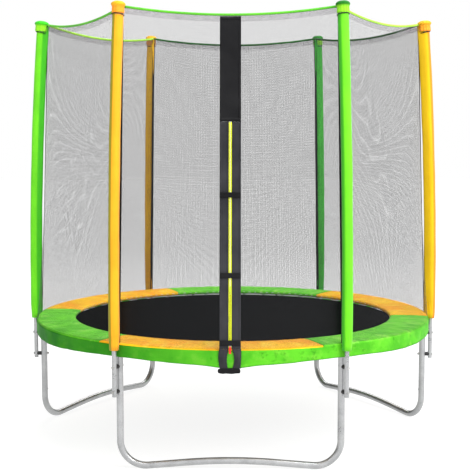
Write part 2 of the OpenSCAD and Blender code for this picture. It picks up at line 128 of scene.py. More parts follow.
HEM_W = 0.030
TRIM_R = 0.0068
DOOR_W = size("door_panel").x
DOOR_R = NET_LOW_R + NET_BULGE
ZIP_HALF = 0.0075
SLOPE = Vector(next(j["axis"] for j in frame["joints"] if j["name"] == "zip_slide"))
DOOR = Matrix.Translation((0, -DOOR_R, NET_LOW)) @ Matrix.Rotation(-math.asin(SLOPE.y), 4, "X")
PANEL_LOW = (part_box("door_panel")[0].z - NET_LOW) / SLOPE.z
PANEL_HIGH = (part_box("door_panel")[1].z - NET_LOW) / SLOPE.z
TAIL_LOW = SKIRT_LOW + 0.004
SPRING_COUNT = 48
WEDGES = 12


def side_turn(k):
    return SPREAD * (4 + k - 1)


def turned(point, turn):
    return Matrix.Rotation(turn, 3, "Z") @ Vector(point)


def by_pole(k, out, across, along):
    """The place beside pole k: out from its middle, across it, and a length along it from the ground."""
    lean = max(0.0, along - LEAN_FROM) / LEAN_R
    out_r = POLE_R - LEAN_R + (LEAN_R + out) * math.cos(lean)
    z = min(along, LEAN_FROM) + (LEAN_R + out) * math.sin(lean)
    return turned((out_r, across, z), side_turn(k))


def low_edge(k, t):
    """The net's lower edge, a share t of the way from pole k to the next."""
    return turned((NET_LOW_R + NET_BULGE * math.sin(math.pi * t), 0, NET_LOW), side_turn(k) + SPREAD * t)


def high_edge(k, t):
    """The net's upper edge, which runs straight from pole to pole and sags."""
    start = turned((NET_TOP_R, 0, NET_TOP), side_turn(k))
    end = turned((NET_TOP_R, 0, NET_TOP), side_turn(k + 1))
    return start.lerp(end, t) - Vector((0, 0, NET_SAG * 4 * t * (1 - t)))


def net_place(k, t, share):
    """A point of net panel k, a share of the way up."""
    return low_edge(k, t).lerp(high_edge(k, t), share)


def outwards(point):
    return Vector((point.x, point.y, 0)).normalized()


def wave(point, scale, seed=0.0):
    """Smooth noise from -1 to 1, where scale is the size of its lumps in metres."""
    return noise.noise(Vector(point) / scale + Vector((seed, seed * 1.7, seed * 0.3)))


def ease(x):
    x = min(1.0, max(0.0, x))
    return x * x * (3 - 2 * x)


# Making pieces

def finish_piece(name, bm, materials, body="frame", smooth=True, stands_for=()):
    """The mesh becomes an object at the origin, which rides on a body."""
    mesh = bpy.data.meshes.new(name)
    bm.to_mesh(mesh)
    bm.free()
    piece = bpy.data.objects.new(name, mesh)
    bpy.context.scene.collection.objects.link(piece)
    for material in materials if isinstance(materials, list) else [materials]:
        mesh.materials.append(material)
    for face in mesh.polygons:
        face.use_smooth = smooth
    if body:
        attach(piece, body)
    if stands_for:
        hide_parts(*stands_for)
    return piece


def tube_to_shape(bm, sides, rings):
    """An open tube of radius 1 from z 0 to 1, with its own map: turn across and z up."""
    bmesh.ops.create_cone(bm, segments=sides, radius1=1, radius2=1, depth=1, cap_ends=False)
    tall = [e for e in bm.edges if abs(e.verts[0].co.z - e.verts[1].co.z) > 0.5]
    bmesh.ops.subdivide_edges(bm, edges=tall, cuts=rings - 1, use_grid_fill=True)
    bmesh.ops.translate(bm, verts=bm.verts, vec=(0, 0, 0.5))
    uv = bm.loops.layers.uv.new("map")
    for face in bm.faces:
        centre = face.calc_center_median()
        middle_turn = math.atan2(centre.y, centre.x)
        for loop in face.loops:
            turn = math.atan2(loop.vert.co.y, loop.vert.co.x)
            turn += 2 * math.pi * round((middle_turn - turn) / (2 * math.pi))
            loop[uv].uv = (turn, loop.vert.co.z)


def scale_map(bm, across, up):
    uv = bm.loops.layers.uv["map"]
    for face in bm.faces:
        for loop in face.loops:
            loop[uv].uv = (loop[uv].uv.x * across, loop[uv].uv.y * up)


def grid_to_shape(bm, across, up, width, height):
    """A flat sheet from 0 to 1 in x and y, mapped in metres."""
    uv = bm.loops.layers.uv.verify()
    made = bmesh.ops.create_grid(bm, x_segments=across, y_segments=up, size=0.5)["verts"]
    bmesh.ops.translate(bm, verts=made, vec=(0.5, 0.5, 0))
    fresh = set(made)
    for face in bm.faces:
        for loop in face.loops:
            if loop.vert in fresh:
                loop[uv].uv = (loop.vert.co.x * width, loop.vert.co.y * height)
    return made


def sweep(bm, path, radius, sides=8, closed=False):
    """A round bar or cord along a path of points."""
    path = [Vector(p) for p in path]
    count = len(path)

    def along(i):
        if closed:
            return (path[(i + 1) % count] - path[i - 1]).normalized()
        return (path[min(i + 1, count - 1)] - path[max(i - 1, 0)]).normalized()

    facing = along(0)
    ring = bmesh.ops.create_circle(bm, segments=sides, radius=radius)["verts"]
    turn = facing.to_track_quat("Z", "Y").to_matrix()
    for vert in ring:
        vert.co = path[0] + turn @ vert.co
    first = edges = list({e for v in ring for e in v.link_edges})
    for i in range(1, count):
        made = bmesh.ops.extrude_edge_only(bm, edges=edges)["geom"]
        turn = facing.rotation_difference(along(i)).to_matrix()
        facing = along(i)
        for vert in (g for g in made if isinstance(g, bmesh.types.BMVert)):
            vert.co = path[i] + turn @ (vert.co - path[i - 1])
        edges = [g for g in made if isinstance(g, bmesh.types.BMEdge)]
    if closed:
        bmesh.ops.bridge_loops(bm, edges=first + edges)
    else:
        bmesh.ops.edgeloop_fill(bm, edges=first)
        bmesh.ops.edgeloop_fill(bm, edges=edges)
    bmesh.ops.recalc_face_normals(bm, faces=bm.faces)


def box_to_shape(bm, low, high):
    """A block between two corners."""
    low, high = Vector(low), Vector(high)
    made = bmesh.ops.create_cube(bm, size=1)["verts"]
    bmesh.ops.scale(bm, vec=high - low, verts=made)
    bmesh.ops.translate(bm, vec=(low + high) / 2, verts=made)


def rounded(corners, radius, steps=4):
    """A closed path through the corners, each turned into an arc."""
    path = []
    for i, corner in enumerate(corners):
        corner = Vector(corner)
        before = (Vector(corners[i - 1]) - corner).normalized() * radius
        after = (Vector(corners[(i + 1) % len(corners)]) - corner).normalized() * radius
        for s in range(steps + 1):
            t = s / steps
            path.append(corner + before * (1 - t) ** 2 + after * t ** 2)
    return path


# Making materials

def start(name, **values):
    """A material's node tree and shader, with the shader's own sockets set."""
    material = bpy.data.materials.new(name)
    material.use_nodes = True
    shader = material.node_tree.nodes["Principled BSDF"]
    for socket, value in values.items():
        shader.inputs[socket.replace("_", " ")].default_value = value
    return material, material.node_tree, shader


def add(tree, kind, inputs, **settings):
    """A node whose inputs take values or other nodes' outputs."""
    made = tree.nodes.new("ShaderNode" + kind)
    for name, value in settings.items():
        setattr(made, name, value)
    for socket, value in inputs.items():
        if isinstance(value, bpy.types.NodeSocket):
            tree.links.new(value, made.inputs[socket])
        else:
            made.inputs[socket].default_value = value
    return made


def here(tree, kind="Object"):
    return add(tree, "TexCoord", {}).outputs[kind]


def grain(tree, where, lump, detail=4.0, rough=0.55):
    """Noise with lumps of about that size in metres."""
    return add(
        tree, "TexNoise", {"Vector": where, "Scale": 0.5 / lump, "Detail": detail, "Roughness": rough}
    ).outputs["Fac"]


def ramp(tree, value, *stops):
    """Colours along a value: each stop is a position and a colour."""
    made = add(tree, "ValToRGB", {"Fac": value})
    elements = made.color_ramp.elements
    while len(elements) < len(stops):
        elements.new(0.5)
    for element, (position, colour) in zip(elements, stops):
        element.position = position
        element.color = (*colour, 1) if len(colour) == 3 else colour
    return made.outputs["Color"]


def spread_of(tree, value, low, high):
    """A value from 0 to 1 stretched over low to high."""
    return add(tree, "MapRange", {"Value": value, "To Min": low, "To Max": high}).outputs["Result"]


def mixed(tree, share, one, other):
    made = add(tree, "Mix", {"Factor": share}, data_type="RGBA", blend_type="MIX")
    for socket, value in zip((made.inputs[6], made.inputs[7]), (one, other)):
        if isinstance(value, bpy.types.NodeSocket):
            tree.links.new(value, socket)
        else:
            socket.default_value = (*value, 1)
    return made.outputs[2]


def maths(tree, operation, *values):
    made = tree.nodes.new("ShaderNodeMath")
    made.operation = operation
    for socket, value in zip(made.inputs, values):
        if isinstance(value, bpy.types.NodeSocket):
            tree.links.new(value, socket)
        else:
            socket.default_value = value
    return made.outputs[0]


def bands(tree, where, pitch, direction):
    """Ridges a pitch apart in metres."""
    return add(
        tree, "TexWave", {"Vector": where, "Scale": math.pi / 10 / pitch}, bands_direction=direction
    ).outputs["Fac"]


def raised(tree, shader, height, depth, strength=1.0, under=None):
    """A bump of that depth in metres, over another one."""
    inputs = {"Height": height, "Distance": depth, "Strength": strength}
    if under:
        inputs["Normal"] = under
    made = add(tree, "Bump", inputs)
    tree.links.new(made.outputs["Normal"], shader.inputs["Normal"])
    return made.outputs["Normal"]


def colour_of(tree, shader, colour):
    tree.links.new(colour, shader.inputs["Base Color"])


def roughness_of(tree, shader, value):
    tree.links.new(value, shader.inputs["Roughness"])


def steel(name, light, dark, rough):
    """Galvanised tube: faint spangle, drawn streaks and small scuffs."""
    material, tree, shader = start(name, Metallic=0.65)
    where = here(tree)
    spangle = add(tree, "TexVoronoi", {"Vector": where, "Scale": 220}).outputs["Color"]
    spangle = add(tree, "SeparateColor", {"Color": spangle}).outputs[0]
    tone = maths(tree, "ADD", maths(tree, "MULTIPLY", spangle, 0.15),
                 maths(tree, "MULTIPLY", grain(tree, where, 0.04), 0.85))
    colour_of(tree, shader, ramp(tree, tone, (0.3, dark), (0.65, light)))
    roughness_of(tree, shader, spread_of(tree, tone, rough - 0.05, rough + 0.1))
    raised(tree, shader, grain(tree, where, 0.002), 0.0001, 0.4)
    return material


def moulded(name, colour, rough=0.45, worn=None):
    """Moulded plastic or rubber with a fine grain."""
    material, tree, shader = start(name, Specular_IOR_Level=0.4)
    where = here(tree)
    worn = worn or [min(1.0, c * 1.5 + 0.01) for c in colour]
    colour_of(tree, shader, ramp(tree, grain(tree, where, 0.012), (0.35, colour), (0.8, worn)))
    roughness_of(tree, shader, spread_of(tree, grain(tree, where, 0.004), rough - 0.08, rough + 0.12))
    raised(tree, shader, grain(tree, where, 0.0006), 0.00008, 0.6)
    return material


def woven(name, colour, shadow, pitch, rough=0.7, depth=0.0002, kind="Object", sheen=0.1, shine=0.2,
          facing=None):
    """Woven cloth: crossed threads, uneven dye, and a shadow tone between the threads."""
    material, tree, shader = start(name, Sheen_Weight=sheen, Sheen_Roughness=0.5, Specular_IOR_Level=shine)
    where = here(tree, kind)
    threads = maths(
        tree, "MULTIPLY", bands(tree, where, pitch, "X"),
        bands(tree, where, pitch, "Y" if kind == "UV" else "Z"),
    )
    cloud = grain(tree, here(tree), 0.12)
    dyed = ramp(tree, cloud, (0.3, shadow), (0.6, colour))
    dyed = mixed(tree, maths(tree, "MULTIPLY", threads, 0.18), dyed, shadow)
    # On sleeves the facing colour is painted shade down one side; on caps it colours the gathered skirt
    if facing:
        tone = add(tree, "Attribute", {}, attribute_name="tone").outputs["Fac"]
        dyed = mixed(tree, tone, dyed, facing)
    colour_of(tree, shader, dyed)
    roughness_of(tree, shader, spread_of(tree, cloud, rough - 0.1, rough + 0.1))
    under = raised(tree, shader, threads, depth, 0.7)
    raised(tree, shader, grain(tree, here(tree), 0.03), 0.002, 0.35, under)
    return material


def vinyl(name, main, second, shade_and_seam, pale, glare_share=0.65, rough=0.52):
    """Coated sheet over foam: mottled colour, pale patches of painted glare, creases darkened with painted
    shade, and a woven scrim.
    """
    material, tree, shader = start(name, Specular_IOR_Level=0.10)
    where = here(tree)
    axes = add(tree, "SeparateXYZ", {"Vector": where}).outputs
    turn = maths(tree, "ARCTAN2", axes["Y"], axes["X"])
    radius = maths(tree, "SQRT", maths(tree, "ADD", maths(tree, "MULTIPLY", axes["X"], axes["X"]),
                                       maths(tree, "MULTIPLY", axes["Y"], axes["Y"])))
    across = add(tree, "CombineXYZ", {
        "X": maths(tree, "MULTIPLY", turn, 1.1), "Y": maths(tree, "MULTIPLY", radius, 0.3),
        "Z": axes["Z"],
    }).outputs["Vector"]
    colour = ramp(tree, grain(tree, where, 0.09, 5.0), (0.40, second), (0.58, main))
    creases = grain(tree, across, 0.016, 6.0, 0.6)
    # Painted glare: pale patches of painted highlight laid over the colour
    glare = maths(tree, "MULTIPLY", ramp(tree, grain(tree, across, 0.03, 4.0),
                                         (0.52, (0, 0, 0)), (0.70, (1, 1, 1))), glare_share)
    colour = mixed(tree, glare, colour, pale)
    # Painted shade darkens the creases; the tone attribute adds dark seams and painted shade where a piece
    # sets it
    dark = maths(tree, "MULTIPLY", ramp(tree, creases, (0.56, (0, 0, 0)), (0.72, (1, 1, 1))), 0.6)
    tone = add(tree, "Attribute", {}, attribute_name="tone").outputs["Fac"]
    colour = mixed(tree, maths(tree, "MAXIMUM", dark, tone), colour, shade_and_seam)
    colour_of(tree, shader, colour)
    roughness_of(tree, shader, spread_of(tree, creases, rough - 0.08, rough + 0.2))
    scrim = maths(tree, "MULTIPLY", bands(tree, where, 0.003, "X"), bands(tree, where, 0.003, "Y"))
    under = raised(tree, shader, scrim, 0.0002, 0.4)
    raised(tree, shader, creases, 0.003, 0.6, under)
    return material


def net_cloth(name, colour, pitch, thread, rough=0.6):
    """Knitted net: threads both ways, and nothing between them."""
    material, tree, shader = start(name, Base_Color=(*colour, 1), Roughness=rough, Specular_IOR_Level=0.2)
    where = add(tree, "SeparateXYZ", {"Vector": here(tree, "UV")})
    strands = []
    for axis in ("X", "Y"):
        cell = maths(tree, "FRACT", maths(tree, "MULTIPLY", where.outputs[axis], 1 / pitch))
        strands.append(maths(tree, "LESS_THAN", cell, thread / pitch))
    tree.links.new(maths(tree, "MAXIMUM", *strands), shader.inputs["Alpha"])
    return material


# Finishes

GALVANISED = steel("galvanised_steel", (0.45, 0.455, 0.46), (0.32, 0.325, 0.33), 0.28)
POLE_STEEL = steel("pole_steel", (0.44, 0.445, 0.45), (0.32, 0.325, 0.33), 0.26)
ZINC = steel("zinc_plate", (0.50, 0.50, 0.49), (0.30, 0.30, 0.29), 0.36)
SPRING_STEEL = steel("spring_steel", (0.60, 0.61, 0.62), (0.34, 0.35, 0.36), 0.32)
BLACK_PLASTIC = moulded("black_plastic", (0.010, 0.010, 0.011))
GREY_FOAM = moulded("grey_foam", (0.20, 0.20, 0.21), 0.85)
WHITE_FOAM = moulded("white_foam", (0.80, 0.80, 0.78), 0.8)
RED_PLASTIC = moulded("red_plastic", (0.80, 0.012, 0.008), 0.35)
# Each sleeve cloth's facing colour is painted shade, laid down one side of the sleeve by the tone attribute
ORANGE_CLOTH = woven("orange_cloth", (0.98, 0.40, 0.012), (0.90, 0.33, 0.008), 0.0012, kind="UV",
                     facing=(0.30, 0.26, 0.008))
YELLOW_CLOTH = woven("yellow_cloth", (0.80, 0.50, 0.004), (0.70, 0.42, 0.004), 0.0012, kind="UV",
                     facing=(0.96, 0.27, 0.010))
AMBER_CLOTH = woven("amber_cloth", (0.90, 0.50, 0.008), (0.74, 0.38, 0.006), 0.0012, kind="UV",
                    facing=(0.26, 0.14, 0.004))
GREEN_CLOTH = woven("green_cloth", (0.16, 0.70, 0.014), (0.12, 0.58, 0.012), 0.0012, kind="UV",
                    facing=(0.05, 0.44, 0.012))
SHADE_CLOTH = woven("shade_cloth", (0.050, 0.44, 0.040), (0.035, 0.34, 0.028), 0.0012, kind="UV",
                    facing=(0.008, 0.10, 0.008))
CAP_CLOTH = woven("cap_cloth", (0.035, 0.50, 0.008), (0.015, 0.34, 0.005), 0.0012,
                  facing=(0.26, 0.72, 0.02))
DARK_CAP_CLOTH = woven("dark_cap_cloth", (0.004, 0.20, 0.003), (0.002, 0.12, 0.002), 0.0012,
                       facing=(0.26, 0.72, 0.02))
ORANGE_CAP_CLOTH = woven("orange_cap_cloth", (0.78, 0.42, 0.010), (0.62, 0.30, 0.008), 0.0012,
                         facing=(0.95, 0.33, 0.02))
# The last colour of each vinyl is its painted glare
GREEN_VINYL = vinyl("green_vinyl", (0.15, 0.62, 0.025), (0.095, 0.48, 0.016), (0.020, 0.22, 0.006),
                    (0.34, 0.72, 0.12))
YELLOW_VINYL = vinyl("yellow_vinyl", (0.92, 0.50, 0.008), (0.90, 0.36, 0.008), (0.58, 0.38, 0.006),
                     (0.92, 0.66, 0.06))
SKIRT_VINYL = vinyl("skirt_vinyl", (0.105, 0.52, 0.018), (0.065, 0.40, 0.012), (0.008, 0.15, 0.004),
                    (0.24, 0.62, 0.05), 0.4)
MAT_CLOTH = woven("mat_cloth", (0.0030, 0.0036, 0.0030), (0.002, 0.0025, 0.002), 0.0025, 1.0, 0.0003,
                  kind="UV", sheen=0.0, shine=0.0)
BLACK_WEBBING = woven("black_webbing", (0.012, 0.012, 0.013), (0.005, 0.005, 0.006), 0.002, 0.8,
                      0.0004, sheen=0.05, shine=0.1)
DOOR_CLOTH = woven("door_cloth", (0.012, 0.012, 0.013), (0.005, 0.005, 0.006), 0.0016, 0.7, 0.0003,
                   sheen=0.05, shine=0.1)
TAPE_CLOTH = woven("tape_cloth", (0.042, 0.042, 0.047), (0.020, 0.020, 0.023), 0.0015, 0.75, 0.0003,
                   sheen=0.05, shine=0.1)
YELLOW_TAPE = woven("yellow_tape", (0.66, 0.72, 0.018), (0.52, 0.56, 0.012), 0.001, 0.6)
YELLOW_TEETH = moulded("yellow_teeth", (0.66, 0.72, 0.018), 0.4, (0.80, 0.84, 0.04))
LIME_CORD = woven("lime_cord", (0.38, 0.74, 0.05), (0.30, 0.62, 0.04), 0.0015, 0.7, 0.0004)
GREEN_CORD = woven("green_cord", (0.12, 0.52, 0.025), (0.07, 0.38, 0.018), 0.0015, 0.7, 0.0004)
DARK_CORD = woven("dark_cord", (0.015, 0.12, 0.015), (0.006, 0.05, 0.006), 0.0015, 0.7, 0.0004)
BLACK_CORD = woven("black_cord", (0.010, 0.010, 0.011), (0.005, 0.005, 0.006), 0.0015, 0.75, 0.0004)
NET = net_cloth("net", (0.020, 0.020, 0.023), 0.0048, 0.00078)
HEM_NET = net_cloth("hem_net", (0.16, 0.14, 0.17), 0.0016, 0.00028)


def coat(material, *starts):
    """Gives the finish to every CAD node whose name has one of these starts."""
    for name, node in frame["nodes"].items():
        if name.startswith(starts):
            node.data.materials.clear()
            node.data.materials.append(material)


coat(GALVANISED, "rail_", "leg_")
coat(POLE_STEEL, "pole_lower_", "pole_upper_")
coat(BLACK_PLASTIC, "pole_spacers")
coat(ZINC, "pole_bolts", "pole_nuts", "frame_screws", "zip_slider")
coat(GREY_FOAM, "foam_tubes")
coat(WHITE_FOAM, "pad_foam")
coat(BLACK_CORD, "pad_ties")
coat(BLACK_WEBBING, "strap_patches")
coat(RED_PLASTIC, "zip_pull")


# Pole sleeves and caps

def sleeve_radius(k, along, turn):
    """A snug sleeve, drawn in at its lower end and gathered under the cap."""
    radius = SLEEVE_END_R + (SLEEVE_R - SLEEVE_END_R) * ease((along - 0.70) / 0.09)
    drawn = math.exp(-((along - 0.735) / 0.035) ** 2)
    gathered = ease((along - POLE_LENGTH + 0.075) / 0.05)
    skin = (math.cos(turn) * 0.06, math.sin(turn) * 0.06, along * 0.35)
    radius += 0.0016 * wave(skin, 0.06, 7 * k)
    radius += 0.0014 * drawn * math.sin(11 * turn + 40 * along)
    radius += 0.0028 * gathered * math.sin(15 * turn + 6 * wave((along, k, 0), 0.03))
    return radius - 0.002 * gathered


# Each sleeve's cloth, the side that takes its painted shade (1 is +X) and how far round that painted shade
# starts
SLEEVE_FINISH = {
    1: ORANGE_CLOTH, 2: GREEN_CLOTH, 3: YELLOW_CLOTH, 4: SHADE_CLOTH, 5: AMBER_CLOTH, 6: GREEN_CLOTH,
}
PAINTED_SHADE_SIDE = {1: -1, 2: -1, 3: 1, 4: -1, 5: 1, 6: 1}
PAINTED_SHADE_FROM = {1: 0.33, 2: 0.45, 3: 0.30, 4: 0.55, 5: 0.40, 6: 0.35}


def sleeve_place(k, radius, turn, along):
    """Round the pole, and drawn out towards the net on the inner side, where it is sewn on."""
    inner = max(0.0, -math.cos(turn))
    out = radius * math.cos(turn) - SLEEVE_FLANGE * inner ** 3
    across = radius * math.sin(turn) * (1 - 0.25 * inner ** 2)
    return by_pole(k, out, across, along)


def add_sleeve(k):
    rings = 180
    top = POLE_LENGTH - 0.003
    bm = bmesh.new()
    tube_to_shape(bm, 48, rings)
    scale_map(bm, SLEEVE_R, top - SLEEVE_LOW)
    tone = bm.verts.layers.float.new("tone")
    hem = [(-0.0045, 0.014), (-0.004, 0.001), (-0.0015, -0.0005)]
    for vert in bm.verts:
        turn = math.atan2(vert.co.y, vert.co.x)
        ring = round(vert.co.z * rings)
        along = SLEEVE_LOW + vert.co.z * (top - SLEEVE_LOW)
        radius = sleeve_radius(k, along, turn)
        if ring < len(hem):
            radius = SLEEVE_END_R + hem[ring][0]
            along = SLEEVE_LOW + hem[ring][1]
        vert.co = sleeve_place(k, radius, turn, along)
        # Painted shade: the tone puts the facing colour on the side of the sleeve that faces one way in the
        # world
        sideways = PAINTED_SHADE_SIDE[k] * math.cos(turn + side_turn(k))
        vert[tone] = ease((sideways - PAINTED_SHADE_FROM[k]) / 0.2)
    bmesh.ops.recalc_face_normals(bm, faces=bm.faces)
    return finish_piece(f"sleeve_{k}", bm, SLEEVE_FINISH[k], stands_for=[f"pole_sleeve_{k}"])


def spun(bm, profile, steps):
    """A profile of radius and height, turned all the way round."""
    verts = [bm.verts.new((r, 0, z)) for r, z in profile]
    edges = [bm.edges.new(pair) for pair in zip(verts, verts[1:])]
    bmesh.ops.spin(
        bm, geom=verts + edges, cent=(0, 0, 0), axis=(0, 0, 1), dvec=(0, 0, 0),
        angle=2 * math.pi, steps=steps, use_merge=True,
    )
    bmesh.ops.remove_doubles(bm, verts=bm.verts, dist=1e-6)
    bmesh.ops.recalc_face_normals(bm, faces=bm.faces)


CAP_PROFILE = [
    (0, 0.021), (0.014, 0.0205), (0.027, 0.018), (0.037, 0.013), (0.0425, 0.0075), (0.044, 0.002),
    (0.0425, -0.003), (0.0385, -0.007), (0.0365, -0.014), (0.0368, -0.022), (0.0372, -0.030),
    (0.0375, -0.038), (0.0366, -0.044), (0.0345, -0.045), (0.034, -0.038), (0, -0.002),
]
# How loosely each cap sits: 1 is flared, less is drawn in over the sleeve
CAP_FIT = {1: 0.88, 2: 0.88, 3: 1.0, 4: 0.88, 5: 0.88, 6: 1.0}


def add_cap(k):
    """A round cloth cap with a gathered skirt over the sleeve's end."""
    bm = bmesh.new()
    spun(bm, CAP_PROFILE, 60)
    tone = bm.verts.layers.float.new("tone")
    for vert in bm.verts:
        turn = math.atan2(vert.co.y, vert.co.x)
        low = ease(-vert.co.z / 0.012)
        swell = 1 + 0.045 * low * math.sin(13 * turn + 5 * wave((turn, k, 0), 0.8))
        swell = CAP_FIT[k] * (swell + 0.02 * wave((vert.co.x, vert.co.y, k), 0.03))
        vert[tone] = low
        vert.co = by_pole(k, vert.co.x * swell, vert.co.y * swell, POLE_LENGTH + vert.co.z)
    return bm


def join_meshes(parts):
    """One bmesh that holds copies of several."""
    joined = bmesh.new()
    for part in parts:
        mesh = bpy.data.meshes.new("part")
        part.to_mesh(mesh)
        part.free()
        joined.from_mesh(mesh)
        bpy.data.meshes.remove(mesh)
    return joined


for side in range(1, SIDES + 1):
    add_sleeve(side)
for name, material, sides in (
    ("caps_green", CAP_CLOTH, (6,)), ("caps_dark", DARK_CAP_CLOTH, (2, 4)),
    ("caps_orange", ORANGE_CAP_CLOTH, (1, 3, 5)),
):
    finish_piece(name, join_meshes([add_cap(k) for k in sides]), material, stands_for=["pole_caps"])


# Spring cover

def pad_profile():
    """The cover's cross-section as radius and height: flat below, crowned above, rounded at both edges."""
    edge = 0.009
    low = PAD_LOW + 0.0004
    top_points = 26
    points = [(PAD_IN + edge, low), (PAD_IN + 0.003, low + 0.002), (PAD_IN, low + 0.009)]
    for i in range(top_points + 1):
        t = i / top_points
        crown = PAD_TOP + 0.0006 + 0.004 * math.sin(math.pi * t) ** 0.6
        points.append((PAD_IN + 0.004 + t * (PAD_OUT - PAD_IN - 0.008), crown))
    points += [(PAD_OUT, low + 0.009), (PAD_OUT - 0.003, low + 0.002), (PAD_OUT - edge, low)]
    return points


def pad_wrinkle(radius, turn):
    """How far the cover's top is lifted or sunk there."""
    place = (radius * math.cos(turn), radius * math.sin(turn), 0)
    edge = min(radius - PAD_IN, PAD_OUT - radius)
    loose = ease(edge / 0.03)
    radial = (turn * 1.1, radius * 0.25, 0)
    pull = 0.0035 * math.exp(-edge / 0.05) * abs(wave(radial, 0.022))
    folds = 0.0026 * abs(wave(place, 0.11, 2)) + 0.0030 * abs(wave(radial, 0.035, 5))
    return loose * (folds + pull)


def add_pad(name, material, first_turn, node):
    steps = 170
    bm = bmesh.new()
    for third in range(3):
        start_turn = first_turn + third * 2 * SPREAD
        profile = pad_profile()
        verts = [bm.verts.new(turned((r, 0, z), start_turn)) for r, z in profile]
        edges = [bm.edges.new((verts[i - 1], verts[i])) for i in range(len(verts))]
        made = bmesh.ops.spin(
            bm, geom=verts + edges, cent=(0, 0, 0), axis=(0, 0, 1), dvec=(0, 0, 0),
            angle=SPREAD, steps=steps, use_merge=False,
        )["geom_last"]
        bmesh.ops.edgeloop_fill(bm, edges=edges)
        bmesh.ops.edgeloop_fill(bm, edges=[g for g in made if isinstance(g, bmesh.types.BMEdge)])
    tone = bm.verts.layers.float.new("tone")
    for vert in bm.verts:
        radius = math.hypot(vert.co.x, vert.co.y)
        turn = math.atan2(vert.co.y, vert.co.x)
        share = ((turn - first_turn) % (2 * SPREAD)) / SPREAD
        share = min(share, 1.0) if share < 1.5 else 0.0
        joint = math.exp(-min(share, 1 - share) * SPREAD * radius / 0.006)
        upper = ease((vert.co.z - PAD_LOW - 0.006) / 0.006)
        lift = upper * pad_wrinkle(radius, turn) * (1 - joint)
        vert.co.z += lift
        rim = min(radius - PAD_IN, PAD_OUT - radius)
        vert[tone] = 0.75 * max(joint, 0.4 * math.exp(-max(rim, 0) / 0.004))
    bmesh.ops.recalc_face_normals(bm, faces=bm.faces)
    piece = finish_piece(name, bm, material, stands_for=[node])
    return piece


add_pad("cover_green", GREEN_VINYL, side_turn(2) + PAD_TURN, "pad_cover_green")
add_pad("cover_yellow", YELLOW_VINYL, side_turn(1) + PAD_TURN, "pad_cover_yellow")


def skirt_place(turn, share):
    """A point of the hanging skirt, where share runs from its top to its hem."""
    between = math.sin(turn * SIDES / 2) ** 2
    arc = (math.cos(turn) * SKIRT_R, math.sin(turn) * SKIRT_R)
    drop = (SKIRT_TOP - SKIRT_LOW) * share
    tied = math.exp(-(arc[0] / 0.10) ** 2) if arc[1] < 0 else 0.0
    hem = 0.020 - 0.017 * tied + 0.012 * (1 - between)
    hem += 0.004 * wave((*arc, 0), 0.30, 4) + 0.002 * wave((*arc, 0), 0.08, 9)
    ripple = share * between * (0.006 * wave((*arc, drop), 0.12, 6) + 0.003 * wave((*arc, drop), 0.04, 8))
    radius = SKIRT_R + 0.0006 + ripple + 0.003 * share * between
    return Vector((radius * math.cos(turn), radius * math.sin(turn), SKIRT_TOP - drop + share * hem))


def add_skirt():
    steps = 420
    rows = 14
    bm = bmesh.new()
    tube_to_shape(bm, steps, rows)
    scale_map(bm, SKIRT_R, SKIRT_TOP - SKIRT_LOW)
    tone = bm.verts.layers.float.new("tone")
    for vert in bm.verts:
        turn = math.atan2(vert.co.y, vert.co.x)
        share = 1 - vert.co.z
        vert.co = skirt_place(turn, share)
        # Painted shade: the skirt is darkened towards -X, in uneven patches; a darker line also runs along
        # the hem
        shaded_left = ease((math.cos(math.radians(80)) * 1.6 - math.cos(turn)) / 1.1)
        shade_patches = 0.75 + 0.25 * ease(0.5 + 1.4 * wave(vert.co, 0.12, 3))
        hem_line = math.exp(-((share - 0.98) / 0.035) ** 2)
        vert[tone] = max(0.95 * shaded_left * shade_patches, 0.9 * hem_line)
    bmesh.ops.recalc_face_normals(bm, faces=bm.faces)
    bmesh.ops.solidify(bm, geom=bm.faces[:], thickness=0.0008)
    skirt = finish_piece("skirt", bm, SKIRT_VINYL, stands_for=["pad_skirt"])


add_skirt()


# Mat, rings and springs, in wedges

WEDGE = 2 * math.pi / WEDGES
RING_Z = middle("v_rings").z
RING_R = MAT_R - 0.012
RING_TIP = RING_R + 0.032


def bend_wedge(piece):
    """Bakes the wedge's place into its mesh."""
    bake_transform(piece)


def wedge_copies(name, bm, material, stands_for, smooth=True):
    """Twelve turned copies of a shape that was made round turn 0, each its own wedge."""
    made = []
    base = bpy.data.meshes.new(name)
    bm.to_mesh(base)
    bm.free()
    base.materials.append(material)
    for face in base.polygons:
        face.use_smooth = smooth
    for i in range(WEDGES):
        mesh = base.copy()
        mesh.transform(Matrix.Rotation((i + 0.5) * WEDGE, 4, "Z"))
        piece = bpy.data.objects.new(f"{name}_{i + 1:02}", mesh)
        bpy.context.scene.collection.objects.link(piece)
        bend_wedge(piece)
        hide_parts(stands_for)
        made.append(piece)
    bpy.data.meshes.remove(base)
    return made


def wedge_sheet(bm, r_in, r_out, rows, steps):
    """A flat wedge at height 0, with its map in metres along and across the cloth."""
    chain = [bm.verts.new(turned((r_in + (r_out - r_in) * i / rows, 0, 0), -WEDGE / 2))
             for i in range(rows + 1)]
    edges = [bm.edges.new(pair) for pair in zip(chain, chain[1:])]
    bmesh.ops.spin(bm, geom=chain + edges, cent=(0, 0, 0), axis=(0, 0, 1), dvec=(0, 0, 0),
                   angle=WEDGE, steps=steps, use_merge=False)
    bmesh.ops.remove_doubles(bm, verts=bm.verts, dist=1e-6)
    uv = bm.loops.layers.uv.new("map")
    for face in bm.faces:
        for loop in face.loops:
            loop[uv].uv = loop.vert.co.xy


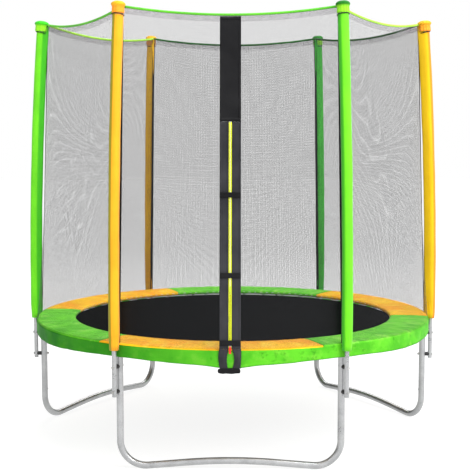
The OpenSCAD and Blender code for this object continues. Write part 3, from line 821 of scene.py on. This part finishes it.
def add_mat():
    bm = bmesh.new()
    wedge_sheet(bm, 0, MAT_R, 40, 6)
    bmesh.ops.recalc_face_normals(bm, faces=bm.faces)
    if sum(face.normal.z for face in bm.faces) < 0:
        bmesh.ops.reverse_faces(bm, faces=bm.faces)
    bmesh.ops.translate(bm, verts=bm.verts, vec=(0, 0, MAT_TOP))
    bmesh.ops.solidify(bm, geom=bm.faces[:], thickness=0.0014)
    for piece in wedge_copies("mat", bm, MAT_CLOTH, "mat", smooth=False):
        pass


def add_webbing():
    """Webbing under the mat's edge."""
    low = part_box("mat_webbing")[0].z
    bm = bmesh.new()
    wedge_sheet(bm, MAT_R - 0.048, MAT_R + 0.002, 10, 10)
    made = bmesh.ops.extrude_face_region(bm, geom=bm.faces[:])["geom"]
    bmesh.ops.translate(bm, verts=[g for g in made if isinstance(g, bmesh.types.BMVert)],
                        vec=(0, 0, 0.0028))
    bmesh.ops.translate(bm, verts=bm.verts, vec=(0, 0, low))
    bmesh.ops.recalc_face_normals(bm, faces=bm.faces)
    wedge_copies("webbing", bm, BLACK_WEBBING, "mat_webbing")


def spring_turns():
    """The turns of a wedge's springs, about its middle."""
    each = SPRING_COUNT // WEDGES
    return [(i - (each - 1) / 2) * 2 * math.pi / SPRING_COUNT for i in range(each)]


def join_copies(source, bm, turns):
    mesh = bpy.data.meshes.new("part")
    source.to_mesh(mesh)
    source.free()
    for turn in turns:
        copy = mesh.copy()
        copy.transform(Matrix.Rotation(turn, 4, "Z"))
        bm.from_mesh(copy)
        bpy.data.meshes.remove(copy)
    bpy.data.meshes.remove(mesh)


def add_rings():
    """Steel triangles, each with its base under the webbing and its tip towards a spring."""
    wire = 0.0021
    corners = [(RING_R, -0.0145, RING_Z), (RING_R, 0.0145, RING_Z), (RING_TIP - wire, 0, RING_Z)]
    one = bmesh.new()
    sweep(one, rounded(corners, 0.006, 4), wire, 8, closed=True)
    bm = bmesh.new()
    join_copies(one, bm, spring_turns())
    wedge_copies("rings", bm, SPRING_STEEL, "v_rings")


def spring_path():
    """Hook over the ring, close coil, and a hook down into the rail."""
    wire = 0.0016
    coil_r = 0.0100 - wire
    start_r = RING_TIP + 0.013
    end_r = RAIL_R - TUBE_R - 0.017
    turns = 30
    hook = RING_TIP - 0.0085
    path = [(hook, 0, RING_Z - 0.004), (hook - 0.0012, 0, RING_Z + 0.0015),
            (hook + 0.001, 0, RING_Z + 0.0055), (hook + 0.006, 0, RING_Z + 0.0072),
            (start_r - 0.006, 0, RAIL_Z + coil_r * 0.9)]
    for i in range(turns * 9 + 1):
        turn = 2 * math.pi * i / 9
        r = start_r + (end_r - start_r) * i / (turns * 9)
        path.append((r, coil_r * math.sin(turn), RAIL_Z + coil_r * math.cos(turn)))
    rail_in = RAIL_R - TUBE_R
    path += [(end_r + 0.004, 0, RAIL_Z + coil_r * 0.5), (end_r + 0.009, 0, RAIL_Z),
             (rail_in + 0.001, 0, RAIL_Z), (rail_in + 0.0035, 0, RAIL_Z - 0.0012),
             (rail_in + 0.0048, 0, RAIL_Z - 0.0045), (rail_in + 0.0048, 0, RAIL_Z - 0.008)]
    return path


def add_springs():
    one = bmesh.new()
    sweep(one, spring_path(), 0.00155, 5)
    bm = bmesh.new()
    join_copies(one, bm, spring_turns())
    wedge_copies("springs", bm, SPRING_STEEL, "springs")


add_mat()
add_webbing()
add_rings()
add_springs()


# Net

def net_slack(k, t, share):
    """How far a net panel hangs out of true: soft folds between its tied corners."""
    hold = math.sin(math.pi * t) * math.sin(math.pi * min(1.0, share * 1.05))
    folds = wave((t * 1.2, share * 0.5, k), 0.16, 2) + 0.5 * wave((t * 1.2, share * 0.4, k), 0.06, 5)
    corner = ease(1 - min(t, 1 - t) / 0.25) * ease((share - 0.6) / 0.4)
    pulled = corner * math.sin(math.pi * min(1, share)) * 0.004 * math.sin(60 * min(t, 1 - t) + 20 * share)
    return 0.006 * hold * folds + pulled


def add_net_part(bm, k, t_low, t_high, s_low, s_high, across):
    """A stretch of panel k between two shares of its lower edge and two of its upper edge."""
    height = NET_TOP - NET_LOW
    width = NET_LOW_R * SPREAD * (t_high - t_low)
    for vert in grid_to_shape(bm, across, 44, width, height):
        share = vert.co.y
        t = t_low + (t_high - t_low) * vert.co.x
        s = s_low + (s_high - s_low) * vert.co.x
        point = low_edge(k, t).lerp(high_edge(k, s), share)
        vert.co = point + outwards(point) * (net_slack(k, t, share) + 0.001)


def add_net():
    half_low = math.asin(DOOR_W / 2 / DOOR_R) / SPREAD
    half_high = DOOR_W / 2 / NET_TOP_R
    bm = bmesh.new()
    for k in range(1, SIDES + 1):
        if k == 1:
            add_net_part(bm, k, 0, 0.5 - half_low, 0, 0.5 - half_high, 12)
            add_net_part(bm, k, 0.5 + half_low, 1, 0.5 + half_high, 1, 12)
        else:
            add_net_part(bm, k, 0, 1, 0, 1, 26)
    bmesh.ops.remove_doubles(bm, verts=bm.verts, dist=0.0005)
    net = finish_piece("net", bm, NET, stands_for=["net"])


def along_panel(k, samples, drop, out):
    """Points beside the upper edge of panel k, dropped and moved outwards."""
    points = []
    for i in range(samples + 1):
        point = high_edge(k, i / samples)
        points.append(point - Vector((0, 0, drop)) + outwards(point) * out)
    return points


def add_hems():
    """A doubled band along the net's upper edge, and a narrow webbing up each pole."""
    bm = bmesh.new()
    for k in range(1, SIDES + 1):
        for vert in grid_to_shape(bm, 26, 3, NET_TOP_R, HEM_W):
            t, up = vert.co.x, vert.co.y
            point = high_edge(k, t)
            wobble = 0.002 * wave((t, up * 0.05, k), 0.05)
            vert.co = point - Vector((0, 0, HEM_W * (1 - up) + wobble)) + outwards(point) * 0.004
    bmesh.ops.remove_doubles(bm, verts=bm.verts, dist=0.0004)
    bmesh.ops.recalc_face_normals(bm, faces=bm.faces)
    finish_piece("net_hems", bm, HEM_NET)
    bm = bmesh.new()
    for k in range(1, SIDES + 1):
        for vert in grid_to_shape(bm, 2, 44, 0.018, NET_TOP - NET_LOW):
            t, share = (vert.co.x - 0.5) * 0.015, vert.co.y
            point = net_place(k, abs(t), share) if t >= 0 else net_place((k - 2) % SIDES + 1, 1 + t, share)
            vert.co = point + outwards(point) * 0.0015
    bmesh.ops.solidify(bm, geom=bm.faces[:], thickness=0.001)
    bmesh.ops.recalc_face_normals(bm, faces=bm.faces)
    finish_piece("net_seams", bm, BLACK_WEBBING)


def add_trims():
    """The piped upper hem, its panels' cord in lime, mid green and dark green."""
    for name, material, sides in (
        ("trim_lime", LIME_CORD, (2, 5)), ("trim_green", GREEN_CORD, (1, 6)),
        ("trim_dark", DARK_CORD, (3, 4)),
    ):
        bm = bmesh.new()
        for k in sides:
            sweep(bm, along_panel(k, 40, -0.006, 0.001), TRIM_R, 10)
        finish_piece(name, bm, material, stands_for=["net_trim"])


def add_loops():
    """A cord round each sleeve below its cap, tied to the net's corner."""
    bm = bmesh.new()
    loop_r = SLEEVE_R + 0.0035
    at = POLE_LENGTH - 0.052
    for k in range(1, SIDES + 1):
        ring = []
        for i in range(28):
            turn = 2 * math.pi * i / 28
            sag = 0.004 * math.cos(turn)
            ring.append(by_pole(k, loop_r * math.cos(turn), loop_r * math.sin(turn), at + sag))
        sweep(bm, ring, 0.0022, 6, closed=True)
        knot = by_pole(k, -loop_r - 0.002, 0, at - 0.006)
        corner = turned((NET_TOP_R + 0.004, 0, NET_TOP - 0.004), side_turn(k))
        middle_point = knot.lerp(corner, 0.5) - Vector((0, 0, 0.004))
        sweep(bm, [knot, middle_point, corner], 0.0022, 6)
    finish_piece("loops", bm, BLACK_CORD, stands_for=["net_loops"])


add_net()
add_hems()
add_trims()
add_loops()


# Door: x across, y inwards and z up the net's slope

TAPE_T = 0.0015
STRAP_W = 0.028


def finish_door(name, bm, material, body="frame", stands_for=(), smooth=True):
    bmesh.ops.recalc_face_normals(bm, faces=bm.faces)
    bm.transform(DOOR)
    return finish_piece(name, bm, material, body, smooth, stands_for)


def cloth_strip(bm, x_low, x_high, low, high, thickness, rows, columns=4, wander=0.0, bow=None):
    """An upright strip of cloth with a soft surface."""
    bow = bow or (lambda x, z: 0.0)
    verts = grid_to_shape(bm, columns, rows, x_high - x_low, high - low)
    for vert in verts:
        x = x_low + (x_high - x_low) * vert.co.x
        z = low + (high - low) * vert.co.y
        vert.co = (x, -bow(x, z) + wander * wave((x, 0, z), 0.07, x_low * 50), z)
    fresh = set(verts)
    faces = [f for f in bm.faces if all(v in fresh for v in f.verts)]
    made = bmesh.ops.extrude_face_region(bm, geom=faces)["geom"]
    bmesh.ops.translate(bm, verts=[g for g in made if isinstance(g, bmesh.types.BMVert)],
                        vec=(0, -thickness, 0))


def add_door_panel():
    bm = bmesh.new()
    cloth_strip(bm, -DOOR_W / 2, DOOR_W / 2, PANEL_LOW, PANEL_HIGH, 0.0016, 60, 12, 0.0014)
    for x in (-DOOR_W / 2 + 0.004, DOOR_W / 2 - 0.012):
        cloth_strip(bm, x, x + 0.008, PANEL_LOW, PANEL_HIGH, 0.0012, 60, 1, 0.0006, lambda x, z: 0.0016)
    for z in (PANEL_LOW, PANEL_HIGH - 0.02):
        cloth_strip(bm, -DOOR_W / 2, DOOR_W / 2, z, z + 0.02, 0.0012, 2, 12, 0.0006, lambda x, z: 0.0018)
    finish_door("door_panel_cloth", bm, DOOR_CLOTH, stands_for=["door_panel"])


def add_door_tapes():
    bm = bmesh.new()
    for side in (-1, 1):
        edge = sorted((side * DOOR_W / 2, side * ZIP_HALF))
        cloth_strip(bm, *edge, 0.004, PANEL_LOW - 0.001, TAPE_T, 110, 6, 0.0010)
        outer = sorted((side * DOOR_W / 2, side * (DOOR_W / 2 - 0.010)))
        cloth_strip(bm, *outer, 0.004, PANEL_LOW, 0.0010, 110, 1, 0.0005, lambda x, z: TAPE_T)
        inner = sorted((side * (ZIP_HALF + 0.009), side * (ZIP_HALF + 0.001)))
        cloth_strip(bm, *inner, 0.004, PANEL_LOW, 0.0012, 110, 1, 0.0005, lambda x, z: TAPE_T)
    finish_door("door_tapes_cloth", bm, TAPE_CLOTH, stands_for=["door_tapes"])


def add_zip():
    """Two yellow tapes with a row of teeth on each."""
    low, high = 0.006, PANEL_LOW - 0.002
    tapes = bmesh.new()
    for side in (-1, 1):
        edge = sorted((side * 0.0024, side * (ZIP_HALF + 0.001)))
        cloth_strip(tapes, *edge, low, high, 0.0012, 60, 2, 0.0002, lambda x, z: 0.0008)
    finish_door("zip_tapes", tapes, YELLOW_TAPE, stands_for=["zip_chain"])
    teeth = bmesh.new()
    pitch = 0.0034
    for side in (-1, 1):
        inner, outer = side * 0.0009, side * 0.0036
        for i in range(int((high - low) / pitch)):
            z = low + (i + (0.5 if side > 0 else 0.0)) * pitch
            corners = sorted((inner, outer))
            box_to_shape(teeth, (corners[0], -0.0029, z), (corners[1], -0.0003, z + pitch * 0.62))
    finish_door("zip_teeth", teeth, YELLOW_TEETH, smooth=False)


def add_straps():
    """Each strap bows a little over the zip, and has stitched ends."""
    for k in (1, 2, 3):
        low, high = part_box(f"door_strap_{k}")
        centre = DOOR.inverted() @ ((low + high) / 2)
        rise = STRAP_W / 2
        width = DOOR_W

        def bow(x, z):
            return 0.0083 + 0.0018 * math.cos(math.pi * x / width) + 0.0005 * wave((x, k, z), 0.02)

        bm = bmesh.new()
        cloth_strip(bm, -width / 2, width / 2, centre.z - rise, centre.z + rise, 0.002, 6, 28, 0, bow)
        for edge in (-1, 1):
            for x in (width / 2 - 0.003, width / 2 - 0.018):
                x *= edge
                stitch = [(x, -bow(x, 0) - 0.0022, centre.z + rise * s) for s in (-0.85, -0.4, 0, 0.4, 0.85)]
                sweep(bm, stitch, 0.0005, 4)
        finish_door(f"strap_{k}_cloth", bm, BLACK_WEBBING, f"strap_{k}", [f"door_strap_{k}"])


def tail_place(side, x_share, drop):
    """A point of a loose tape end, where drop runs from the zip to the gather."""
    bulge = math.sin(math.pi * min(1.0, drop * 1.02))
    centre = (-0.033 if side < 0 else 0.034) + side * 0.006 * bulge
    half = 0.024 - 0.003 * ease(drop) - (0.004 * bulge if side > 0 else 0)
    x = centre + half * (2 * x_share - 1)
    z = NET_LOW + 0.004 - drop * (NET_LOW + 0.004 - TAIL_LOW)
    crease = 0.003 * math.sin(9 * x_share + 4 * drop) * bulge
    y = -DOOR_R - 0.0015 - 0.010 * bulge * math.sin(math.pi * x_share) - crease * 0.5
    return Vector((x, y, z))


def add_tails():
    bm = bmesh.new()
    for side in (-1, 1):
        verts = grid_to_shape(bm, 10, 22, 0.046, 0.11)
        for vert in verts:
            vert.co = tail_place(side, vert.co.x, 1 - vert.co.y)
    bmesh.ops.recalc_face_normals(bm, faces=bm.faces)
    bmesh.ops.solidify(bm, geom=bm.faces[:], thickness=0.0015)
    finish_piece("door_tails", bm, TAPE_CLOTH)


def add_gather():
    """The bunched ends of the tape, tied under the skirt."""
    low = TAIL_LOW - 0.026
    bm = bmesh.new()
    bmesh.ops.create_cube(bm, size=1)
    bmesh.ops.subdivide_edges(bm, edges=bm.edges[:], cuts=15, use_grid_fill=True)
    for vert in bm.verts:
        x, y, z = vert.co * 2
        round_it = math.sqrt(max(0.0, 1 - 0.5 * min(1.0, y * y) * min(1.0, z * z)))
        end = 1 - 0.25 * abs(x) ** 4
        bunch = math.sin(5 * z * 2 + 2.5 * wave((x * 0.2, 0, z * 0.1), 0.12, 4))
        fold = 1 + 0.16 * bunch * (1 - abs(y) * 0.3)
        px = -0.005 + 0.0595 * x * (1 - 0.05 * z * z)
        py = -DOOR_R - 0.002 + 0.0062 * y * round_it * end * fold
        pz = low + 0.014 + 0.0145 * z * round_it * end * (1 + 0.06 * math.sin(7 * x))
        vert.co = (px, py, pz)
    finish_piece("door_gather", bm, DOOR_CLOTH)


add_door_panel()
add_door_tapes()
add_zip()
add_straps()
add_tails()
add_gather()


# Floor and surrounding light

floor = bmesh.new()
bmesh.ops.create_circle(floor, cap_ends=True, segments=64, radius=40)
# The floor glows a little, so that it stays pale under a shadow
floor_finish, _, floor_shader = start("pale_floor", Roughness=0.85, Specular_IOR_Level=0.2)
floor_shader.inputs["Base Color"].default_value = (0.22, 0.22, 0.22, 1)
floor_shader.inputs["Emission Color"].default_value = (1, 1, 1, 1)
floor_shader.inputs["Emission Strength"].default_value = 0.86
finish_piece("floor", floor, floor_finish, body=None)


def add_studio():
    """Light walls: white ahead of the camera, and brighter to the right and front than behind."""
    world = bpy.data.worlds.new("studio")
    world.use_nodes = True
    tree = world.node_tree
    facing = add(tree, "VectorMath", {0: here(tree, "Generated"), 1: (0.75, -0.60, 0.10)},
                 operation="DOT_PRODUCT").outputs["Value"]
    walls = ramp(tree, spread_of(tree, maths(tree, "MULTIPLY_ADD", facing, 0.5, 0.5), 0, 1),
                 (0.22, (0.10, 0.10, 0.10)), (0.50, (0.50, 0.50, 0.50)), (0.72, (1.35, 1.35, 1.35)))
    seen = add(tree, "LightPath", {}).outputs["Is Camera Ray"]
    tree.links.new(mixed(tree, seen, walls, (1, 1, 1)), tree.nodes["Background"].inputs["Color"])
    bpy.context.scene.world = world


add_studio()
